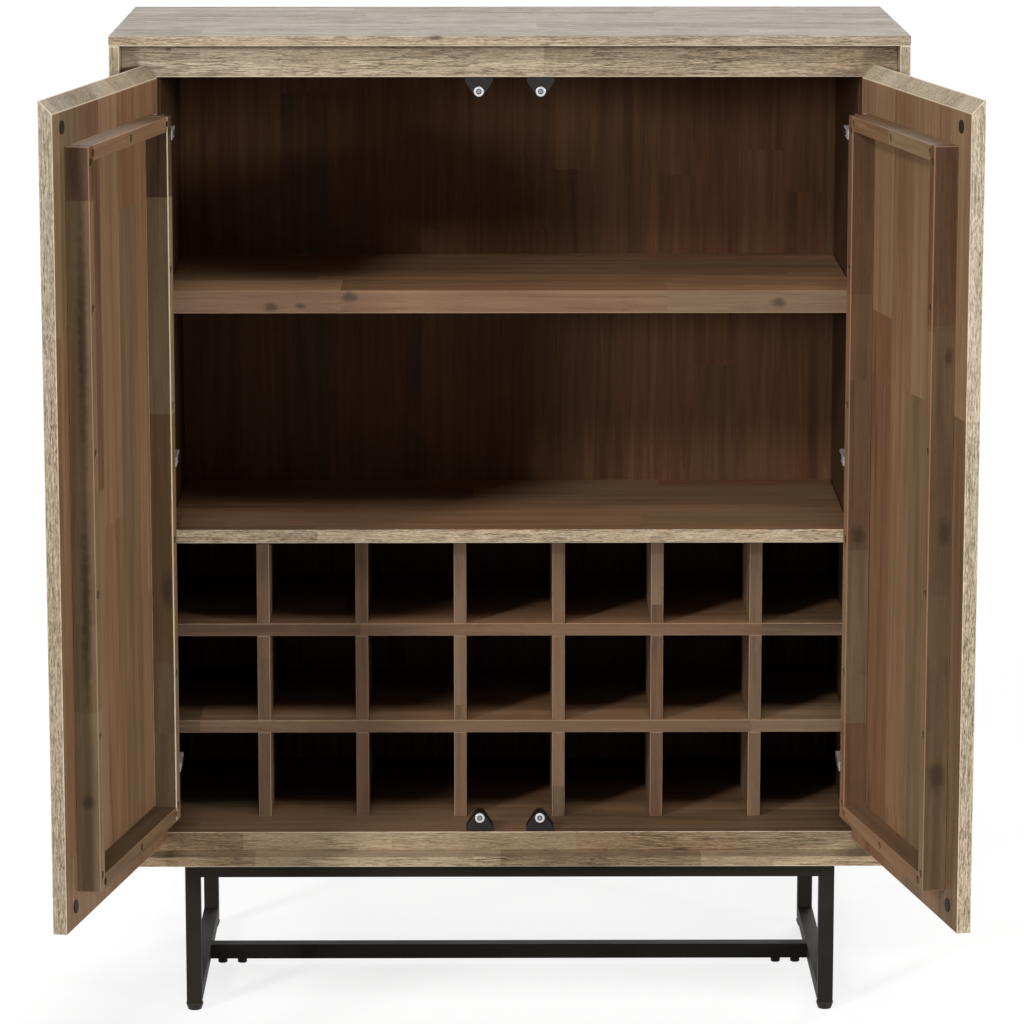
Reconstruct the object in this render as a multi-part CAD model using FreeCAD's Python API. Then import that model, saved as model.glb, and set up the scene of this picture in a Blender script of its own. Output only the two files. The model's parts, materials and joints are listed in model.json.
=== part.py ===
import FreeCAD, Part
import math
import os

# A free-standing wine cabinet: a timber case on a square-tube steel base, with two doors on concealed
# hinges, two shelves over a rack of bottle cells, and magnetic catches.
# Millimetres. +X is right, +Y is back, +Z is up. The origin is on the floor under the middle of the case.
# The doors stand open, as the cabinet is shown, and turn about the pins in their hinge cups.

# Overall sizes
WIDTH = 914.0
DEPTH = 416.0
HEIGHT = 1159.0
BASE_HEIGHT = 182.0

# Case
PANEL = 12.0
BACK_PANEL = 12.0
BACK_INSET = 8.0
FACE_RECESS = 30.0
FACE_FRAME = 20.0
TOP_RAIL = 38.0
BOTTOM_RAIL = 23.0
STILE = 39.0
STILE_REVEAL = 4.0
INNER_SIDE = 15.0
DOWEL_DIA = 6.0
DOWEL_IN_PANEL = 8.0
DOWEL_IN_SIDE = 14.0
DOWELS_PER_JOINT = 3
DOWEL_FROM_EDGE = 60.0

# Bottle rack and shelves
RACK_COLUMNS = 7
RACK_ROWS = 3
RACK_BOARD = 15.0
RACK_CELL_HEIGHT = 103.0
RACK_SETBACK = 72.0
LOWER_SHELF = 16.5
LOWER_SHELF_SETBACK = 43.0
MIDDLE_SPACE = 257.0
UPPER_SHELF = 27.0
UPPER_SHELF_SETBACK = 42.0
SHELF_PIN_DIA = 6.0
SHELF_PIN_OUT = 12.0
SHELF_PIN_IN = 10.0
SHELF_PIN_FROM_EDGE = 50.0

# Doors
DOOR_THICK = 16.0
DOOR_BEVEL = 14.5
DOOR_TOP_GAP = 23.5
DOOR_BOTTOM_GAP = 16.0
DOOR_SIDE_GAP = 24.0
DOOR_MEETING_GAP = 3.0
DOOR_FACE_GAP = 3.0
DOOR_CORNER_EASE = 2.5
DOOR_OPEN_ANGLE = 101.5
BATTEN_WIDTH = 17.0
BATTEN_DEPTH = 27.0
BATTEN_SIDE_INSET = 43.0
BATTEN_END_INSET = 38.0
UPRIGHT_SCREWS = 6
CROSS_SCREWS = 3
BATTEN_SCREW_FROM_END = 18.0

# Concealed hinges
HINGE_FROM_BOTTOM = 89.0
HINGE_FROM_TOP = 65.0
HINGE_ABOVE_SHELF = 91.0
CUP_DIA = 35.0
CUP_DEPTH = 13.0
CUP_EDGE = 3.0
CUP_WALL = 1.3
CUP_WING = 1.2
CUP_WING_HALF = 25.0
CUP_WING_WIDTH = 15.0
PIN_DIA = 3.0
PIN_FROM_EDGE = 8.0
PIN_FROM_FACE = 8.5
PIN_CHEEK = 3.5
KNUCKLE_DIA = 6.2
KNUCKLE_HALF = 6.0
ARM_THICK = 2.7
ARM_HALF = 5.5
ARM_SCREW_BITE = 5.0
SEAT_HEIGHT = 12.0
PLATE_THICK = 2.0
PLATE_LENGTH = 38.0
PLATE_HALF = 19.0
PLATE_FROM_FACE = 2.0
ARM_SCREW_PITCH = 13.0

# Magnetic catches and strikes
CATCH_FROM_MIDDLE = 35.5
CATCH_WIDTH = 32.0
CATCH_WALL = 1.4
CATCH_SHOULDER = 5.5
MAGNET_DIA = 11.5
MAGNET_LENGTH = 12.0
MAGNET_PROUD = 1.2
MAGNET_FROM_BASE = 16.5
STRIKE_DIA = 15.0
STRIKE_THICK = 1.5
STRIKE_STUD_DIA = 4.0
STRIKE_STUD = 9.0

# Steel base
TUBE = 18.0
TUBE_WALL = 1.5
BASE_SIDE_INSET = 73.0
BASE_FRONT_INSET = 21.0
FOOT_DIA = 20.0
FOOT_HEIGHT = 9.0
FOOT_RIM = 2.5
FOOT_BASE_DIA = 15.5
FOOT_STEM_DIA = 8.0
FOOT_STEM = 22.0
STRETCHER_FROM_FRONT = 210.0
TAB_LENGTH = 52.0
TAB_THICK = 4.0
TAB_FIT = 0.3
BOLT_NEAR = 14.0
BOLT_PITCH = 24.0
BOLT_DIA = 6.0
BOLT_PAST_TAB = 4.0
BOLT_HEAD = 6.6
BOLT_FLATS = 10.0
BOLT_FLANGE_DIA = 14.2
BOLT_FLANGE = 1.5

# Wood screws and fits
SCREW_DIA = 4.0
SCREW_HEAD_DIA = 8.0
SCREW_HEAD = 2.5
SCREW_BITE = 9.0
COUNTERBORE_DIA = 8.6
COUNTERBORE = 8.0
PLATE_SCREW_DIA = 3.5
PLATE_SCREW_HEAD_DIA = 7.0
PLATE_SCREW_HEAD = 1.6
BACK_SCREWS = 6
BACK_SCREW_FROM_END = 50.0
BACK_SCREW_BITE = 25.0
BASE_SCREWS = 3
BASE_SCREW_FROM_LEG = 60.0
BASE_SCREW_ACCESS_DIA = 10.0
HOLE_FIT = 0.1
KNUCKLE_FIT = 0.2
BOARD_FIT = 0.2
SHELF_FIT = 0.5
PIN_FIT = 0.05

# Levels and planes worked out from the sizes
front_y = -DEPTH / 2
rear_y = DEPTH / 2
face_y = front_y + FACE_RECESS
inside_front_y = face_y + FACE_FRAME
back_face_y = rear_y - BACK_INSET - BACK_PANEL
case_half = WIDTH / 2
inner_half = case_half - PANEL
opening_half = inner_half - STILE - STILE_REVEAL
case_floor = BASE_HEIGHT + PANEL
case_ceiling = HEIGHT - PANEL
opening_bottom = case_floor + BOTTOM_RAIL
opening_top = case_ceiling - TOP_RAIL
rack_front = face_y + RACK_SETBACK
rack_top = opening_bottom + RACK_ROWS * RACK_CELL_HEIGHT + (RACK_ROWS - 1) * RACK_BOARD
lower_shelf_top = rack_top + LOWER_SHELF
upper_shelf_under = lower_shelf_top + MIDDLE_SPACE
door_edge_x = -(inner_half - DOOR_SIDE_GAP)
door_meet_x = -DOOR_MEETING_GAP / 2
door_inner_y = face_y - DOOR_FACE_GAP
door_outer_y = door_inner_y - DOOR_THICK
door_bottom = case_floor + DOOR_BOTTOM_GAP
door_outer_top = case_ceiling - DOOR_TOP_GAP
door_inner_top = door_outer_top - DOOR_BEVEL
pin_x = door_edge_x + PIN_FROM_EDGE
pin_y = door_inner_y - PIN_FROM_FACE
cup_x = door_edge_x + CUP_EDGE + CUP_DIA / 2
plate_face_x = -(opening_half - PLATE_THICK)
arm_back_x = -(opening_half - SEAT_HEIGHT)
hinge_levels = (
    door_bottom + HINGE_FROM_BOTTOM,
    lower_shelf_top + HINGE_ABOVE_SHELF,
    door_inner_top - HINGE_FROM_TOP,
)
plate_front_y = face_y + PLATE_FROM_FACE
plate_rear_y = plate_front_y + PLATE_LENGTH
leg_outer_x = case_half - BASE_SIDE_INSET
leg_inner_x = leg_outer_x - TUBE
leg_front_y = front_y + BASE_FRONT_INSET
leg_rear_y = rear_y - BASE_FRONT_INSET
stretcher_y = front_y + STRETCHER_FROM_FRONT
magnet_low = opening_bottom + MAGNET_FROM_BASE
magnet_high = opening_top - MAGNET_FROM_BASE

X_AXIS = FreeCAD.Vector(1, 0, 0)
Y_AXIS = FreeCAD.Vector(0, 1, 0)
Z_AXIS = FreeCAD.Vector(0, 0, 1)
CENTRE = FreeCAD.Vector(0, 0, 0)


def block(x0, x1, y0, y1, z0, z1):
    return Part.makeBox(x1 - x0, y1 - y0, z1 - z0, FreeCAD.Vector(x0, y0, z0))


def rod(dia, start, direction, length):
    return Part.makeCylinder(dia / 2, length, FreeCAD.Vector(*start), direction)


def prism(points, direction):
    corners = [FreeCAD.Vector(*p) for p in points]
    wire = Part.makePolygon(corners + corners[:1])
    return Part.Face(wire).extrude(direction)


def mirrored(shape):
    return shape.mirror(CENTRE, X_AXIS)


def both_sides(shapes):
    return shapes + [mirrored(s) for s in shapes]


def spread(start, end, count):
    if count == 1:
        return [(start + end) / 2]
    return [start + (end - start) * i / (count - 1) for i in range(count)]


def swung(shape):
    # The left door's pieces are drawn closed, then turned open about the hinge pins.
    turned = shape.copy()
    turned.rotate(FreeCAD.Vector(pin_x, pin_y, 0), Z_AXIS, -DOOR_OPEN_ANGLE)
    return turned


def cut_all(shape, tools):
    for tool in tools:
        shape = shape.cut(tool)
    return shape


def write(name, shapes):
    shape = shapes[0] if len(shapes) == 1 else Part.makeCompound(shapes)
    shape.exportStep(os.path.join("parts", name + ".step"))


# Dowels between the side panels and the top and bottom panels
def dowel_places():
    ys = spread(front_y + DOWEL_FROM_EDGE, rear_y - DOWEL_FROM_EDGE, DOWELS_PER_JOINT)
    x = -(case_half - PANEL / 2)
    return [(x, y) for y in ys]


def dowels(dia, length_fit):
    low = [
        rod(dia, (x, y, case_floor - DOWEL_IN_PANEL + length_fit), Z_AXIS,
            DOWEL_IN_PANEL + DOWEL_IN_SIDE - 2 * length_fit)
        for x, y in dowel_places()
    ]
    high = [
        rod(dia, (x, y, case_ceiling - DOWEL_IN_SIDE + length_fit), Z_AXIS,
            DOWEL_IN_PANEL + DOWEL_IN_SIDE - 2 * length_fit)
        for x, y in dowel_places()
    ]
    return both_sides(low + high)


# Screws that hold the back panel to the inner sides, and the case to the base. Those to the base go in
# through holes in the tubes' undersides.
def back_screw_places():
    x = -(opening_half + INNER_SIDE / 2)
    return [(x, z) for z in spread(case_floor + BACK_SCREW_FROM_END, case_ceiling - BACK_SCREW_FROM_END,
                                   BACK_SCREWS)]


def back_screws():
    shapes = []
    head_y = back_face_y + BACK_PANEL
    for x, z in back_screw_places():
        head = rod(SCREW_HEAD_DIA, (x, head_y, z), Y_AXIS, SCREW_HEAD)
        shank = rod(SCREW_DIA, (x, back_face_y - BACK_SCREW_BITE, z), Y_AXIS, BACK_PANEL + BACK_SCREW_BITE)
        shapes.append(head.fuse(shank).removeSplitter())
    return both_sides(shapes)


def back_screw_holes():
    bite = BACK_SCREW_BITE + HOLE_FIT
    return both_sides([
        rod(SCREW_DIA + 2 * HOLE_FIT, (x, back_face_y - bite, z), Y_AXIS, BACK_PANEL + bite)
        for x, z in back_screw_places()
    ])


def base_screw_places():
    ys = (leg_front_y + TUBE / 2, leg_rear_y - TUBE / 2)
    xs = spread(-leg_inner_x + BASE_SCREW_FROM_LEG, leg_inner_x - BASE_SCREW_FROM_LEG, BASE_SCREWS)
    return [(x, y) for y in ys for x in xs]


def base_screws():
    shapes = []
    seat = BASE_HEIGHT - TUBE_WALL
    for x, y in base_screw_places():
        head = rod(SCREW_HEAD_DIA, (x, y, seat - SCREW_HEAD), Z_AXIS, SCREW_HEAD)
        shank = rod(SCREW_DIA, (x, y, seat), Z_AXIS, TUBE_WALL + SCREW_BITE)
        shapes.append(head.fuse(shank).removeSplitter())
    return shapes


def base_screw_holes():
    shapes = []
    seat = BASE_HEIGHT - TUBE_WALL
    for x, y in base_screw_places():
        shapes.append(rod(BASE_SCREW_ACCESS_DIA, (x, y, BASE_HEIGHT - TUBE), Z_AXIS, TUBE_WALL))
        shapes.append(rod(SCREW_DIA + 2 * HOLE_FIT, (x, y, seat), Z_AXIS, TUBE_WALL + SCREW_BITE + HOLE_FIT))
    return shapes


# Case
def case_parts():
    dowel_holes = dowels(DOWEL_DIA + 2 * HOLE_FIT, 0.0)
    screw_holes = back_screw_holes()
    top = block(-case_half, case_half, front_y, rear_y, case_ceiling, HEIGHT)
    bottom = block(-case_half, case_half, front_y, rear_y, BASE_HEIGHT, case_floor)
    side = block(-case_half, -inner_half, front_y, rear_y, case_floor, case_ceiling)
    back = block(-inner_half, inner_half, back_face_y, back_face_y + BACK_PANEL, case_floor, case_ceiling)
    top_rail = block(-inner_half, inner_half, face_y, inside_front_y, opening_top, case_ceiling)
    bottom_rail = block(-inner_half, inner_half, face_y, inside_front_y, case_floor, opening_bottom)
    stile = block(-inner_half, STILE - inner_half, face_y, inside_front_y, opening_bottom, opening_top)
    lining = block(-opening_half - INNER_SIDE, -opening_half, inside_front_y, back_face_y, case_floor,
                   case_ceiling)
    floor = block(-opening_half, opening_half, inside_front_y, back_face_y, case_floor, opening_bottom)
    lining = cut_all(lining, screw_holes + shelf_pins(HOLE_FIT) + plate_screws(HOLE_FIT))
    side = cut_all(side, dowel_holes)
    return {
        "top_panel": cut_all(top, dowel_holes),
        "bottom_panel": cut_all(bottom, dowel_holes + base_screw_holes()),
        "left_side_panel": side,
        "right_side_panel": mirrored(side),
        "back_panel": cut_all(back, screw_holes),
        "top_rail": top_rail,
        "bottom_rail": bottom_rail,
        "left_stile": stile,
        "right_stile": mirrored(stile),
        "left_inner_side": lining,
        "right_inner_side": mirrored(lining),
        "floor_board": floor,
    }


# Shelves
def shelf_pins(fit):
    ys = (face_y + UPPER_SHELF_SETBACK + SHELF_PIN_FROM_EDGE, back_face_y - SHELF_PIN_FROM_EDGE)
    z = upper_shelf_under - SHELF_PIN_DIA / 2
    return [
        rod(SHELF_PIN_DIA + 2 * fit, (-opening_half - SHELF_PIN_IN - fit, y, z), X_AXIS,
            SHELF_PIN_IN + SHELF_PIN_OUT + fit)
        for y in ys
    ]


def shelf(under, thick, setback):
    half = opening_half - SHELF_FIT
    return block(-half, half, face_y + setback, back_face_y - SHELF_FIT, under, under + thick)


# Bottle rack: boards crossed with halving joints, the shelves unbroken along the front
def rack_column_width():
    return (2 * opening_half - (RACK_COLUMNS - 1) * RACK_BOARD) / RACK_COLUMNS


def divider_left(index):
    return -opening_half + rack_column_width() + index * (rack_column_width() + RACK_BOARD)


def rack_shelf_under(index):
    return opening_bottom + RACK_CELL_HEIGHT + index * (RACK_CELL_HEIGHT + RACK_BOARD)


def rack_parts():
    rear = back_face_y - SHELF_FIT
    middle = (rack_front + rear) / 2
    parts = {}
    for i in range(RACK_COLUMNS - 1):
        x = divider_left(i)
        board = block(x, x + RACK_BOARD, rack_front, rear, opening_bottom, rack_top)
        slots = [
            block(x, x + RACK_BOARD, rack_front, middle, rack_shelf_under(k),
                  rack_shelf_under(k) + RACK_BOARD + BOARD_FIT)
            for k in range(RACK_ROWS - 1)
        ]
        parts[f"rack_divider_{i + 1}"] = cut_all(board, slots)
    for k in range(RACK_ROWS - 1):
        z = rack_shelf_under(k)
        half = opening_half - SHELF_FIT
        board = block(-half, half, rack_front, rear, z, z + RACK_BOARD)
        slots = [
            block(divider_left(i) - BOARD_FIT / 2, divider_left(i) + RACK_BOARD + BOARD_FIT / 2, middle, rear,
                  z, z + RACK_BOARD)
            for i in range(RACK_COLUMNS - 1)
        ]
        parts[f"rack_shelf_{k + 1}"] = cut_all(board, slots)
    return parts


# Door battens and the screws that hold them on
def batten_box():
    return (door_edge_x + BATTEN_SIDE_INSET, door_meet_x - BATTEN_SIDE_INSET,
            door_bottom + BATTEN_END_INSET, door_inner_top - BATTEN_END_INSET)


def batten_screw_places():
    x0, x1, z0, z1 = batten_box()
    half = BATTEN_WIDTH / 2
    places = [
        (x, z)
        for x in (x0 + half, x1 - half)
        for z in spread(z0 + BATTEN_SCREW_FROM_END, z1 - BATTEN_SCREW_FROM_END, UPRIGHT_SCREWS)
    ]
    places += [
        (x, z)
        for z in (z0 + half, z1 - half)
        for x in spread(x0 + BATTEN_SCREW_FROM_END, x1 - BATTEN_SCREW_FROM_END, CROSS_SCREWS)
    ]
    return places


def batten_screws():
    shapes = []
    seat_y = door_inner_y + BATTEN_DEPTH - COUNTERBORE
    tip_y = door_inner_y - SCREW_BITE
    for x, z in batten_screw_places():
        head = rod(SCREW_HEAD_DIA, (x, seat_y, z), Y_AXIS, SCREW_HEAD)
        shank = rod(SCREW_DIA, (x, tip_y, z), Y_AXIS, seat_y - tip_y)
        shapes.append(head.fuse(shank).removeSplitter())
    return shapes


def batten_screw_holes():
    shapes = []
    face = door_inner_y + BATTEN_DEPTH
    tip_y = door_inner_y - SCREW_BITE - HOLE_FIT
    for x, z in batten_screw_places():
        shapes.append(rod(COUNTERBORE_DIA, (x, face - COUNTERBORE, z), Y_AXIS, COUNTERBORE))
        shapes.append(rod(SCREW_DIA + 2 * HOLE_FIT, (x, tip_y, z), Y_AXIS, face - COUNTERBORE - tip_y))
    return shapes


def battens():
    x0, x1, z0, z1 = batten_box()
    y0, y1 = door_inner_y, door_inner_y + BATTEN_DEPTH
    holes = batten_screw_holes()
    boards = {
        "hinge_batten": block(x0, x0 + BATTEN_WIDTH, y0, y1, z0, z1),
        "meeting_batten": block(x1 - BATTEN_WIDTH, x1, y0, y1, z0, z1),
        "bottom_batten": block(x0 + BATTEN_WIDTH, x1 - BATTEN_WIDTH, y0, y1, z0, z0 + BATTEN_WIDTH),
        "top_batten": block(x0 + BATTEN_WIDTH, x1 - BATTEN_WIDTH, y0, y1, z1 - BATTEN_WIDTH, z1),
    }
    return {name: cut_all(board, holes) for name, board in boards.items()}


# Hinge cups, with cheeks that carry the pin, and their wings screwed to the door
def cup_screw_places():
    offset = (CUP_DIA / 2 + CUP_WING_HALF) / 2
    return [(cup_x, z + s * offset) for z in hinge_levels for s in (-1, 1)]


def cup_screws(fit):
    shapes = []
    for x, z in cup_screw_places():
        shank = rod(PLATE_SCREW_DIA + 2 * fit, (x, door_inner_y - SCREW_BITE - fit, z), Y_AXIS,
                    SCREW_BITE + CUP_WING + fit)
        if fit:
            shapes.append(shank)
        else:
            head = rod(PLATE_SCREW_HEAD_DIA, (x, door_inner_y + CUP_WING, z), Y_AXIS, PLATE_SCREW_HEAD / 2)
            shapes.append(head.fuse(shank).removeSplitter())
    return shapes


def hinge_pin(z, dia):
    half = KNUCKLE_HALF + PIN_CHEEK
    return rod(dia, (pin_x, pin_y, z - half), Z_AXIS, 2 * half)


def hinge_cup(z):
    floor_y = door_inner_y - CUP_DEPTH
    body = rod(CUP_DIA, (cup_x, floor_y, z), Y_AXIS, CUP_DEPTH)
    wing = block(cup_x - CUP_WING_WIDTH / 2, cup_x + CUP_WING_WIDTH / 2, door_inner_y,
                 door_inner_y + CUP_WING, z - CUP_WING_HALF, z + CUP_WING_HALF)
    knuckle_gap = KNUCKLE_FIT
    slot_half = KNUCKLE_HALF + knuckle_gap
    slot = block(pin_x - KNUCKLE_DIA / 2 - knuckle_gap, cup_x, floor_y + CUP_WALL / 2,
                 door_inner_y + CUP_WING, z - slot_half, z + slot_half)
    bowl = rod(CUP_DIA - 2 * CUP_WALL, (cup_x, floor_y + CUP_WALL / 2, z), Y_AXIS, CUP_DEPTH + CUP_WING)
    cheek_x = pin_x + KNUCKLE_DIA / 2 + CUP_WALL
    cheeks = block(cup_x - CUP_DIA, cheek_x, floor_y, door_inner_y + CUP_WING, z - CUP_DIA, z + CUP_DIA)
    cup = body.fuse(wing).removeSplitter()
    return cut_all(cup, [slot, bowl.cut(cheeks), hinge_pin(z, PIN_DIA)] + cup_screws(HOLE_FIT))


# Hinge arms: a knuckle on the pin, a crank inside the cup, and a bar back to the mounting plate
def hinge_arm(z):
    knuckle = rod(KNUCKLE_DIA, (pin_x, pin_y, z - KNUCKLE_HALF), Z_AXIS, 2 * KNUCKLE_HALF)
    crank = block(pin_x, arm_back_x + ARM_THICK, pin_y - ARM_THICK, pin_y, z - ARM_HALF, z + ARM_HALF)
    bar = block(arm_back_x, arm_back_x + ARM_THICK, pin_y - ARM_THICK, plate_rear_y,
                z - ARM_HALF, z + ARM_HALF)
    arm = knuckle.fuse([crank, bar]).removeSplitter()
    bore = hinge_pin(z, PIN_DIA + 2 * PIN_FIT)
    return cut_all(arm, [bore] + arm_screws(z, HOLE_FIT))


def arm_screws(z, fit):
    shapes = []
    middle = (plate_front_y + plate_rear_y) / 2
    for y in (middle - ARM_SCREW_PITCH / 2, middle + ARM_SCREW_PITCH / 2):
        shank = rod(PLATE_SCREW_DIA + 2 * fit, (arm_back_x - ARM_SCREW_BITE - fit, y, z), X_AXIS,
                    ARM_SCREW_BITE + ARM_THICK + fit)
        if fit:
            shapes.append(shank)
        else:
            head = rod(PLATE_SCREW_HEAD_DIA, (arm_back_x + ARM_THICK, y, z), X_AXIS, PLATE_SCREW_HEAD)
            shapes.append(head.fuse(shank).removeSplitter())
    return shapes


def hinge_plate(z):
    wings = block(-opening_half, plate_face_x, plate_front_y, plate_rear_y, z - PLATE_HALF, z + PLATE_HALF)
    seat = block(-opening_half, arm_back_x, plate_front_y, plate_rear_y, z - ARM_HALF, z + ARM_HALF)
    return cut_all(wings.fuse(seat).removeSplitter(), plate_screws(HOLE_FIT) + arm_screws(z, HOLE_FIT))


def plate_screws(fit):
    shapes = []
    y = (inside_front_y + plate_rear_y) / 2
    offset = (ARM_HALF + PLATE_HALF) / 2
    for z in hinge_levels:
        for s in (-1, 1):
            start = -opening_half - SCREW_BITE - fit
            shank = rod(PLATE_SCREW_DIA + 2 * fit, (start, y, z + s * offset), X_AXIS, plate_face_x - start)
            if fit:
                shapes.append(shank)
            else:
                head = rod(PLATE_SCREW_HEAD_DIA, (plate_face_x, y, z + s * offset), X_AXIS, PLATE_SCREW_HEAD)
                shapes.append(head.fuse(shank).removeSplitter())
    return shapes


# Strike discs on the doors and magnetic catches on the case
def strike(z, fit):
    x = -CATCH_FROM_MIDDLE
    disc = rod(STRIKE_DIA, (x, door_inner_y, z), Y_AXIS, STRIKE_THICK)
    stud = rod(STRIKE_STUD_DIA + 2 * fit, (x, door_inner_y - STRIKE_STUD - fit, z), Y_AXIS, STRIKE_STUD + fit)
    return stud if fit else disc.fuse(stud).removeSplitter()


def catch_outline(base_z, up):
    # The sides rise from the shoulders to touch the round tip, which goes round the magnet.
    half = CATCH_WIDTH / 2
    tip = MAGNET_DIA / 2 + HOLE_FIT + CATCH_WALL
    drop = MAGNET_FROM_BASE - CATCH_SHOULDER
    lean = math.acos(tip / math.hypot(half, drop)) - math.atan2(drop, half)
    touch = (tip * math.cos(lean), MAGNET_FROM_BASE + tip * math.sin(lean))

    def point(across, rise):
        return FreeCAD.Vector(across - CATCH_FROM_MIDDLE, face_y, base_z + up * rise)

    right = [point(half, 0), point(half, CATCH_SHOULDER), point(*touch)]
    left = [point(-touch[0], touch[1]), point(-half, CATCH_SHOULDER), point(-half, 0)]
    top = Part.Arc(right[-1], point(0, MAGNET_FROM_BASE + tip), left[0])
    return Part.Wire(Part.makePolygon(left + right).Edges + [top.toShape()])


def catch(base_z, up):
    housing = Part.Face(catch_outline(base_z, up)).extrude(Y_AXIS * FACE_FRAME)
    magnet_z = base_z + up * MAGNET_FROM_BASE
    depth = MAGNET_LENGTH - MAGNET_PROUD
    bore = rod(MAGNET_DIA + 2 * HOLE_FIT, (-CATCH_FROM_MIDDLE, face_y, magnet_z), Y_AXIS, depth)
    magnet = rod(MAGNET_DIA, (-CATCH_FROM_MIDDLE, face_y - MAGNET_PROUD, magnet_z), Y_AXIS, MAGNET_LENGTH)
    return housing.cut(bore), magnet


# Doors
def door_panel():
    outline = [
        (door_edge_x, door_inner_y, door_bottom),
        (door_edge_x, door_inner_y, door_inner_top),
        (door_edge_x, door_inner_y - DOOR_BEVEL, door_outer_top),
        (door_edge_x, door_outer_y, door_outer_top),
        (door_edge_x, door_outer_y, door_bottom),
    ]
    panel = prism(outline, X_AXIS * (door_meet_x - door_edge_x))
    ease = prism([
        (door_edge_x, door_inner_y, door_bottom),
        (door_edge_x + DOOR_CORNER_EASE, door_inner_y, door_bottom),
        (door_edge_x, door_inner_y - DOOR_CORNER_EASE, door_bottom),
    ], Z_AXIS * (door_outer_top - door_bottom))
    cups = [rod(CUP_DIA, (cup_x, door_inner_y - CUP_DEPTH, z), Y_AXIS, CUP_DEPTH) for z in hinge_levels]
    studs = [strike(z, HOLE_FIT) for z in (magnet_low, magnet_high)]
    return cut_all(panel, [ease] + cups + studs + cup_screws(HOLE_FIT) + batten_screw_holes())


def door_parts():
    closed = {
        "door_panel": [door_panel()],
        "hinge_cups": [hinge_cup(z) for z in hinge_levels],
        "hinge_pins": [hinge_pin(z, PIN_DIA) for z in hinge_levels],
        "strike_plates": [strike(z, 0.0) for z in (magnet_low, magnet_high)],
        "door_screws": batten_screws() + cup_screws(0.0),
    }
    closed.update({"door_" + name: [board] for name, board in battens().items()})
    parts = {}
    for name, shapes in closed.items():
        left = [swung(s) for s in shapes]
        parts["left_" + name] = left
        parts["right_" + name] = [mirrored(s) for s in left]
    return parts


def hinge_hardware():
    arms = [hinge_arm(z) for z in hinge_levels]
    plates = [hinge_plate(z) for z in hinge_levels]
    screws = plate_screws(0.0)
    for z in hinge_levels:
        screws += arm_screws(z, 0.0)
    return {
        "hinge_arms": both_sides(arms),
        "hinge_plates": both_sides(plates),
        "case_screws": both_sides(screws) + back_screws() + base_screws(),
    }


def catch_parts():
    pairs = [catch(opening_bottom, 1), catch(opening_top, -1)]
    return {
        "catch_housings": both_sides([housing for housing, _ in pairs]),
        "catch_magnets": both_sides([magnet for _, magnet in pairs]),
    }


# Steel base: square tubes, a bolted stretcher and levelling feet
def tube_x(x0, x1, y, z):
    outer = block(x0, x1, y, y + TUBE, z, z + TUBE)
    return outer.cut(block(x0, x1, y + TUBE_WALL, y + TUBE - TUBE_WALL, z + TUBE_WALL, z + TUBE - TUBE_WALL))


def tube_y(x, y0, y1, z):
    outer = block(x, x + TUBE, y0, y1, z, z + TUBE)
    return outer.cut(block(x + TUBE_WALL, x + TUBE - TUBE_WALL, y0, y1, z + TUBE_WALL, z + TUBE - TUBE_WALL))


def tube_z(x, y, z0, z1):
    outer = block(x, x + TUBE, y, y + TUBE, z0, z1)
    return outer.cut(block(x + TUBE_WALL, x + TUBE - TUBE_WALL, y + TUBE_WALL, y + TUBE - TUBE_WALL, z0, z1))


def bolt_places():
    x = -leg_inner_x + BOLT_NEAR
    return [(x + i * BOLT_PITCH, stretcher_y + TUBE / 2) for i in range(2)]


def bolt_holes():
    length = TUBE_WALL + TAB_THICK
    return [rod(BOLT_DIA + 2 * HOLE_FIT, (x, y, FOOT_HEIGHT), Z_AXIS, length) for x, y in bolt_places()]


def hexagon_bar(x, y, z, flats, length):
    reach = flats / math.sqrt(3)
    turns = [math.radians(60 * i) for i in range(6)]
    corners = [(x + reach * math.cos(t), y + reach * math.sin(t), z) for t in turns]
    return prism(corners, Z_AXIS * length)


def bolts():
    shapes = []
    for x, y in bolt_places():
        head = hexagon_bar(x, y, FOOT_HEIGHT - BOLT_HEAD, BOLT_FLATS, BOLT_HEAD)
        flange = rod(BOLT_FLANGE_DIA, (x, y, FOOT_HEIGHT - BOLT_FLANGE), Z_AXIS, BOLT_FLANGE)
        shank = rod(BOLT_DIA, (x, y, FOOT_HEIGHT), Z_AXIS, TUBE_WALL + TAB_THICK + BOLT_PAST_TAB)
        shapes.append(head.fuse([flange, shank]).removeSplitter())
    return both_sides(shapes)


def foot(x, y):
    taper = FOOT_HEIGHT - FOOT_RIM
    pad = Part.makeCone(FOOT_BASE_DIA / 2, FOOT_DIA / 2, taper, FreeCAD.Vector(x, y, 0), Z_AXIS)
    rim = rod(FOOT_DIA, (x, y, taper), Z_AXIS, FOOT_RIM)
    stem = rod(FOOT_STEM_DIA, (x, y, FOOT_HEIGHT), Z_AXIS, FOOT_STEM)
    return pad.fuse([rim, stem]).removeSplitter()


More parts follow.
